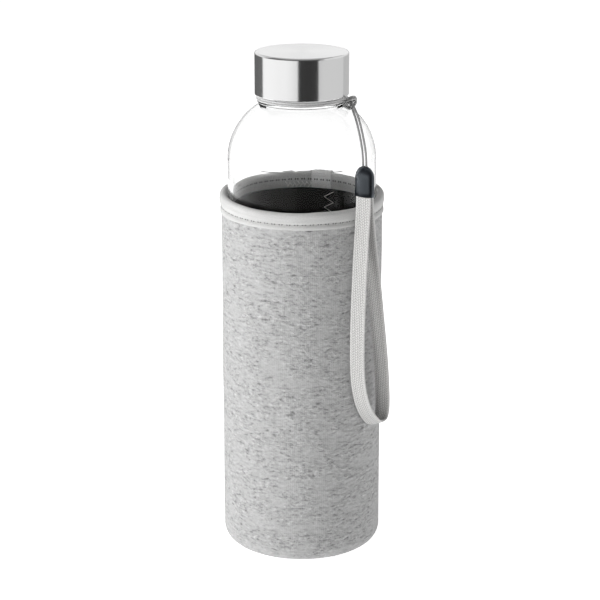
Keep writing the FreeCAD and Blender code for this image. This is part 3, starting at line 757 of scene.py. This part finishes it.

# %% [markdown]
# ## The binding
# A strip of tape folded over the raw rim and sewn through. It swells over the fold and is pinched along the row of
# stitches, where the needle holes show as dots of painted shade. Its ends lap over each other next to the side seam,
# and there the doubled tape stands proud and bunches up.

# %% Binding
LAP = math.radians(17)
LAP_AT = SEAM + LAP_TURN
tape_outside = (
    [(34.72, 150.9), (35.1, 150.8), (35.3, 151.2), (35.3, 152.1), (35.12, 152.8), (34.9, 153.2), (34.86, 153.5)]
    + [(34.95, 153.9), (35.28, 154.7), (35.5, 155.8), (35.52, 157.0)]
    + bend((33.9, 157.8), 1.6, 8, 172, 12)
    + [(32.26, 156.9), (32.24, 155.8), (32.36, 154.7), (32.58, 153.9), (32.64, 153.4), (32.58, 153.0), (32.84, 152.9)]
)
tape_inside = (
    [(33.08, 153.3), (33.05, 154.4), (32.95, 155.6), (32.95, 157.0)]
    + bend((33.9, 157.9), 0.92, 168, 12, 6)
    + [(34.8, 157.0), (34.78, 155.4), (34.76, 153.6), (34.73, 152.4)]
)
bm = spun(tape_outside + tape_inside, 402, closed=True)
wrap_map(bm, TAPE_R)
for vertex in bm.verts:
    turn = math.atan2(vertex.co.y, vertex.co.x)
    radius = vertex.co.xy.length
    height = vertex.co.z / MM
    outer = radius > 34.3 * MM
    row = math.exp(-(((height - STITCH_Z) / 0.7) ** 2))
    beat = math.cos(STITCHES * (turn - SEAM))
    shift = (-0.07 * row * beat) if outer else (0.05 * row * beat)
    from_lap = (turn - LAP_AT + math.pi) % (2 * math.pi) - math.pi
    lapped = 1 - ease(LAP * 0.5, LAP * 0.57, abs(from_lap))
    lumpy = noise.noise(Vector((turn * 22, height * 0.9, 3.0)))
    if lapped > 0 and height > 150.5:
        shift += lapped * (0.24 + 0.22 * lumpy) * (1.0 if outer else -0.8)
    wander = noise.noise(Vector((math.cos(turn) * 9, math.sin(turn) * 9, height * 0.25)))
    shift += 0.09 * wander
    rise = (0.5 + 0.5 * lumpy) * lapped * ease(157.3, 159.2, height) + 0.07 * wander * ease(156, 159, height)
    vertex.co.xy *= (radius + shift * MM) / radius
    vertex.co.z += rise * MM
relax(bm, 0.05)
binding_tape = piece_from("binding_fold", bm, binding)
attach(binding_tape, "sleeve")
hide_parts("rim_binding")

# %% [markdown]
# ## The sewing
# A stitch is a short bead of thread, bowed a little away from the cloth. One helper lays them, and a row of them is
# one piece. There are hundreds, so each has only a few dozen faces.

# %% Stitch helper
THREAD = 0.15 * MM


def lay_stitch(bm, start, end, radius=THREAD, bow=0.06):
    """A bead of thread from start to end, bowed away from the axis."""
    made = bmesh.ops.create_uvsphere(bm, u_segments=7, v_segments=6, radius=radius)["verts"]
    long = (end - start).length / 2
    middle = (start + end) / 2
    turn = (end - start).to_track_quat("Z", "Y")
    outwards = Vector((middle.x, middle.y, 0)).normalized()
    for vertex in made:
        share = vertex.co.z / radius
        vertex.co.z += math.copysign(long - radius, share) if abs(share) > 1e-6 else 0.0
        away = (1 - (vertex.co.z / long) ** 2) * bow * MM
        vertex.co = turn @ vertex.co + middle + outwards * away


def sewn(name, node, stitches, material, radius=THREAD, body="sleeve"):
    bm = bmesh.new()
    for start, end in stitches:
        lay_stitch(bm, start, end, radius)
    piece = piece_from(name, bm, material)
    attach(piece, body)
    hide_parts(node)
    return piece


def on_wall(radius, turn, height):
    """A settled point on the sleeve: millimetres and radians."""
    return settle(Vector((radius * math.cos(turn), radius * math.sin(turn), height)) * MM)


# %% [markdown]
# ## The rows of stitches
# Straight stitches hold the binding, and tacks its lap. A zigzag joins the wall's two edges, and shows outside and
# in. Short ones join the base, and three more close the strap. They are spaced by counting, as a machine does.

# %% Stitches round the rim
half_stitch = STITCH_HALF / MM / TAPE_R
rim_row = []
for k in range(STITCHES):
    middle_turn = SEAM + 2 * math.pi * k / STITCHES
    off_lap = abs((middle_turn - LAP_AT + math.pi) % (2 * math.pi) - math.pi)
    wall_r = 35.0 + (0.25 if off_lap < LAP / 2 else 0.0)
    rim_row.append(
        (on_wall(wall_r, middle_turn - half_stitch, STITCH_Z), on_wall(wall_r, middle_turn + half_stitch, STITCH_Z))
    )
rim_stitching = sewn("rim_stitching", "rim_stitches", rim_row, grey_thread)

# %% Tacks on the lap, upright outside and slanting inside
tack_row = []
for lap_side in (-0.4, 0.4):
    for k in range(5):
        high = 157.2 - 1.25 * k
        turn = LAP_AT + lap_side * LAP
        tack_row.append((on_wall(35.5, turn - 0.012, high), on_wall(35.5, turn + 0.012, high - 0.9)))
INNER_TACKS = 22
for k in range(INNER_TACKS):
    turn = SEAM + math.radians(-4 + 1.75 * k)
    stray = noise.noise(Vector((k * 1.7, 0.5, 0.2)))
    middle_z = 154.4 + 0.7 * stray + (0.45 if k % 2 else -0.45)
    lean = 0.7 if k % 2 else -0.7
    tack_row.append((on_wall(32.0, turn - 0.02, middle_z - lean), on_wall(32.0, turn + 0.02, middle_z + lean)))
lap_tacking = sewn("lap_tacking", "binding_tack", tack_row, white_thread, radius=0.2 * MM)


# %% Zigzag up the side seam
def zigzag(radius, low, high, rise, wide, seam=SEAM):
    """A zigzag up the side seam, as one straight stitch after another."""
    count = int((high - low) / rise)
    corners = [
        on_wall(radius, seam + (wide / 2 / radius) * (1 if k % 2 else -1), low + rise * k) for k in range(count + 1)
    ]
    return list(zip(corners, corners[1:]))


outer_seam = sewn("outer_seam", "seam_zigzag_outer", zigzag(34.75, 7.9, 149.0, 2.4, 4.6), grey_thread)
inner_turn = SEAM - math.radians(3)
inner_stitches = zigzag(32.45, 7.9, 153.6, 2.4, 4.8, inner_turn)
inner_seam = sewn("inner_seam", "seam_zigzag_inner", inner_stitches, white_thread)

# %% Stitches of the base and the strap
base_row = []
BASE_STITCHES = 60
for k in range(BASE_STITCHES):
    turn = 2 * math.pi * k / BASE_STITCHES
    inner = Vector((27.3 * math.cos(turn), 27.3 * math.sin(turn), 0.16)) * MM
    outer = Vector((29.3 * math.cos(turn + 0.02), 29.3 * math.sin(turn + 0.02), 0.2)) * MM
    base_row.append((inner, outer))
base_seam = sewn("base_seam", "base_stitches", base_row, grey_thread)

tack_points = []
for tack_side in (-0.3, 0, 0.3):
    tack_middle = end_mid + across * (tack_side * 7.5) + UP * 3.4
    tack_points.append(((tack_middle - along * 1.55) * MM, (tack_middle + along * 1.55) * MM))
strap_tacking = sewn("strap_tacking", "strap_tack", tack_points, grey_thread, body="strap")

# %% [markdown]

# %% [markdown]
# ## Hard parts
# The steel shell is turned, so its brushing runs round it: rings on the top and level lines on the side. The noise
# therefore reads the distance from the axis and the height, and nothing else. It moves the roughness more than the
# relief, since brushed steel is still nearly a mirror. Glass and plastics are one plain shader each.

# %% Steel
steel, steel_shader = finish("brushed_steel", (0.8, 0.8, 0.8), 0.16, Metallic=1.0, Anisotropic=0.5)
steel_shader.inputs["Anisotropic Rotation"].default_value = 0.25
link(steel, add(steel, "Tangent", direction_type="RADIAL", axis="Z").outputs[0], steel_shader.inputs["Tangent"])
BRUSH_LINES = 5200.0
steel_at = add(steel, "SeparateXYZ", {"Vector": add(steel, "TexCoord").outputs["Object"]})
ring_lines = sums(steel, "MULTIPLY", from_axis(steel, steel_at), BRUSH_LINES)
level_lines = sums(steel, "MULTIPLY", steel_at.outputs["Z"], BRUSH_LINES)
brushing = cloud(steel, add(steel, "CombineXYZ", {"X": ring_lines, "Y": level_lines}).outputs[0], 3.0, 0.7)
roughened(steel, steel_shader, brushing, 0.12, 0.21)
bumped(steel, steel_shader, brushing, 0.000006, 0.25)

# %% Glass and plastics
glass, glass_shader = finish("clear_glass", (1.0, 1.0, 1.0), 0.0, Transmission_Weight=1.0, IOR=1.48)
glass_shader.inputs["Specular Tint"].default_value = (0.2, 0.2, 0.2, 1)
liner, liner_shader = finish("liner_plastic", (0.78, 0.78, 0.77), 0.35, IOR=1.49)
liner_grain = cloud(liner, place(liner, (900.0, 900.0, 900.0), "Object"))
link(liner, ramp(liner, liner_grain, [(0.3, 0.7), (0.7, 0.8)]), liner_shader.inputs["Base Color"])
silicone, silicone_shader = finish("clear_silicone", (0.8, 0.8, 0.79), 0.45, Subsurface_Weight=0.2)
silicone_grain = cloud(silicone, place(silicone, (700.0, 700.0, 700.0), "Object"))
link(silicone, ramp(silicone, silicone_grain, [(0.3, 0.72), (0.7, 0.82)]), silicone_shader.inputs["Base Color"])
black, black_shader = finish("black_plastic", (0.004, 0.005, 0.007), 0.2, IOR=1.9)
black_shader.inputs["Specular Tint"].default_value = (0.82, 0.91, 1.0, 1)
black_grain = cloud(black, place(black, (1800.0, 1800.0, 1800.0), "Object"))
roughened(black, black_shader, black_grain, 0.27, 0.34)
bumped(black, black_shader, black_grain, 0.00001, 0.2)
crimp_metal, crimp_shader = finish("crimp_metal", (0.55, 0.54, 0.52), 0.35, Metallic=1.0)
crimp_grain = cloud(crimp_metal, place(crimp_metal, (1500.0, 1500.0, 300.0), "Object"))
bumped(crimp_metal, crimp_shader, crimp_grain, 0.00002, 0.4)


# %% Dress the hard parts
def dress(node, material):
    """A CAD node keeps its shape and gets a finish."""
    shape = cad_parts[node]
    shape.data.materials.clear()
    shape.data.materials.append(material)
    print(node, "is finished in", material.name)


dress("lid_shell", steel)
dress("lid_liner", liner)
dress("lid_gasket", silicone)
dress("glass_bottle", glass)
dress("cord_crimp", crimp_metal)

# %% [markdown]
# ## The cord end
# A moulded cap like a flattened bullet. It starts as one ring of edges at the mouth. The ring is pushed up and drawn
# in ring by ring, over the dome, down through the slot for the cord and back down inside, and then meets itself.

# %% Cord end
def oval(bm, ring, height, wide, thick, square):
    """Puts a ring of vertices on a squarish oval at that height."""
    for k, vertex in enumerate(ring):
        turn = 2 * math.pi * k / len(ring)
        a = math.copysign(abs(math.cos(turn)) ** (2 / square), math.cos(turn)) * wide
        b = math.copysign(abs(math.sin(turn)) ** (2 / square), math.sin(turn)) * thick
        vertex.co = (end_mid + across * a + along * b + UP * (height - end_mid.z)) * MM


def dome(share):
    return math.sqrt(max(1 - share**2.2, 0.0))


DOME_Z, DOME_RISE, DOME_RINGS = 172.0, 5.2, 10
cap_rings = [(164.55, 4.62, 2.44, 2.1), (164.7, 4.7, 2.52, 2.1), (166.5, 4.68, 2.5, 2.1), (170.0, 4.62, 2.46, 2.1)]
for k in range(DOME_RINGS):
    drawn_in = dome(k / 9.3)
    cap_rings.append((DOME_Z + DOME_RISE * k / (DOME_RINGS - 1), 4.6 * drawn_in, 2.44 * drawn_in, 2.1))
cap_rings += [(177.1, 1.55, 0.75, 3.0), (176.2, 1.5, 0.7, 3.0), (175.6, 2.6, 1.2, 3.0), (173.0, 3.9, 1.9, 3.0)]
cap_rings += [(166.0, 4.1, 2.0, 3.0), (164.6, 4.15, 2.05, 3.0)]
bm = bmesh.new()
ring = bmesh.ops.create_circle(bm, segments=56, radius=1.0)["verts"]
oval(bm, ring, *cap_rings[0])
first_ring = ring
for shape in cap_rings[1:]:
    edges = [bm.edges.get((ring[k - 1], ring[k])) for k in range(len(ring))]
    pushed = bmesh.ops.extrude_edge_only(bm, edges=edges)["geom"]
    upper = {v for v in pushed if isinstance(v, bmesh.types.BMVert)}
    ring = [next(e.other_vert(v) for e in v.link_edges if e.other_vert(v) in upper) for v in ring]
    oval(bm, ring, *shape)
ends = [bm.edges.get((r[k - 1], r[k])) for r in (first_ring, ring) for k in range(len(r))]
bmesh.ops.bridge_loops(bm, edges=ends)
bmesh.ops.recalc_face_normals(bm, faces=bm.faces)
cord_end = piece_from("cord_end", bm, black)
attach(cord_end, "strap")
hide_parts("cord_end_cap")

# %% [markdown]
# ## The studio
# A pale floor under a pale sky, one large soft light from the left and weaker ones from the right and above. The
# polished lid only shows what stands round it, so curved cards, which nothing but reflections can see, stand there.
# Two more are seen only through the glass. A picture of a room could light it all, but then no edge could be moved.

# %% Floor and sky
floor_finish, floor_shader = finish("pale_floor", (0.9, 0.9, 0.9), 0.9)
floor_shader.inputs["Emission Color"].default_value = (1, 1, 1, 1)
floor_shader.inputs["Emission Strength"].default_value = 0.8
floor_grain = cloud(floor_finish, place(floor_finish, (40.0, 40.0, 40.0), "Object"))
link(floor_finish, ramp(floor_finish, floor_grain, [(0.3, 0.89), (0.7, 0.9)]), floor_shader.inputs["Base Color"])
bm = bmesh.new()
bmesh.ops.create_grid(bm, x_segments=2, y_segments=2, size=5.0)
floor = piece_from("floor", bm, floor_finish)
floor.location.z = -0.0002

sky = bpy.data.worlds.new("studio_sky")
sky.use_nodes = True
sky.node_tree.nodes["Background"].inputs["Color"].default_value = (1, 1, 1, 1)
sky.node_tree.nodes["Background"].inputs["Strength"].default_value = 0.22
scene.world = sky
scene.view_settings.view_transform = "Standard"


# %% Lights
def soft_light(name, place_at, size, watts):
    data = bpy.data.lights.new(name, "AREA")
    data.shape = "SQUARE"
    data.size = size
    data.energy = watts
    light = bpy.data.objects.new(name, data)
    light.location = place_at
    light.rotation_euler = (Vector((0, 0, 0.1)) - Vector(place_at)).to_track_quat("-Z", "Y").to_euler()
    light.visible_glossy = False
    light.visible_camera = False
    scene.collection.objects.link(light)


soft_light("key_left", (-1.3, -0.5, 0.55), 0.8, 19)
soft_light("edge_right", (1.2, 0.55, 0.5), 0.5, 3.0)
soft_light("top", (-0.3, 0.1, 1.4), 0.7, 3.0)


# %% Card helper
CARD_R, GLASS_CARD_R = 0.5, 0.9
FOOT_Z, LID_Z, HIGH_Z = 0.036, 0.24, 0.8


def card(name, start, stop, low, high, reach, glow, seen_by="glossy", faint=None, inner=None):
    """A curved card round the bottle, from start to stop degrees, counted from the front to the right. Its glow
    may fall to faint[0] between two distances along X, and a level card starts at the radius `inner`."""
    data = bpy.data.materials.new(name)
    data.use_nodes = True
    data.node_tree.nodes.remove(data.node_tree.nodes["Principled BSDF"])
    glowing = add(data, "Emission", {"Color": (1, 1, 1, 1), "Strength": glow})
    if faint:
        sideways = add(data, "SeparateXYZ", {"Vector": add(data, "TexCoord").outputs["Object"]}).outputs["X"]
        fall = {"Value": sideways, "From Min": faint[1], "From Max": faint[2], "To Min": glow, "To Max": faint[0]}
        link(data, add(data, "MapRange", fall).outputs[0], glowing.inputs["Strength"])
    link(data, glowing.outputs[0], data.node_tree.nodes["Material Output"].inputs["Surface"])
    bm = bmesh.new()
    turn = math.radians(start - 90)
    corners = [(inner or reach, low), (reach, high)]
    ends = [bm.verts.new((r * math.cos(turn), r * math.sin(turn), z)) for r, z in corners]
    edge = bm.edges.new(ends)
    bmesh.ops.spin(
        bm, geom=[*ends, edge], cent=(0, 0, 0), axis=(0, 0, 1), angle=math.radians(stop - start), steps=24
    )
    made = piece_from(name, bm, data)
    for ray in ("camera", "diffuse", "glossy", "transmission", "shadow", "volume_scatter"):
        setattr(made, "visible_" + ray, ray == seen_by)


# %% [markdown]
# ## Where the cards stand
# The lid's side shows the cards up to LID_Z, from left to right. The cord end shows the low ones in front, up to
# FOOT_Z. The lid's edge and top show the high ones. An edge is sharp where two cards of different glow meet.

# %% Cards
card("card_left", -107, -9, FOOT_Z, LID_Z, CARD_R, 1.12, faint=(0.9, -0.3, -0.05))
card("card_foot_left", -107, -88, 0.0, FOOT_Z, CARD_R, 1.3)
card("card_foot_fade", -88, -50, 0.0, FOOT_Z, CARD_R, 1.3, faint=(0.02, -0.495, -0.4))
card("card_foot_front", -50, -9, 0.0, FOOT_Z, CARD_R, 0.02)
card("card_front", -9, 40, 0.0, LID_Z, CARD_R, 0.085, faint=(0.036, -0.078, -0.03))
card("card_right", 40, 118, 0.0, LID_Z, CARD_R, 0.71)
card("card_right_back", 118, 165, 0.0, LID_Z, CARD_R, 0.56)
card("card_back_left", -163, -107, 0.05, LID_Z, CARD_R, 0.14)
card("card_low_left", -178, -107, 0.0, 0.048, CARD_R, 1.6)
card("card_back", 150, 210, 0.26, 0.5, CARD_R, 0.97)
card("card_high_front", -100, 55, LID_Z, HIGH_Z, CARD_R, 0.1)
card("card_high_right", 55, 150, LID_Z, HIGH_Z, CARD_R, 0.85)
card("card_high_left", -150, -100, LID_Z, HIGH_Z, CARD_R, 0.85)
card("card_over", 0, 360, 1.3, 1.3, GLASS_CARD_R, 0.45, inner=0.01)
card("card_floor", -75, 40, 0.002, 0.002, CARD_R, 0.02, inner=0.08)
card("card_round_glass", -30, 210, -0.01, 1.5, GLASS_CARD_R, 1.05, seen_by="transmission")
card("card_left_glass", -150, -30, -0.01, 1.5, GLASS_CARD_R, 1.4, seen_by="transmission")
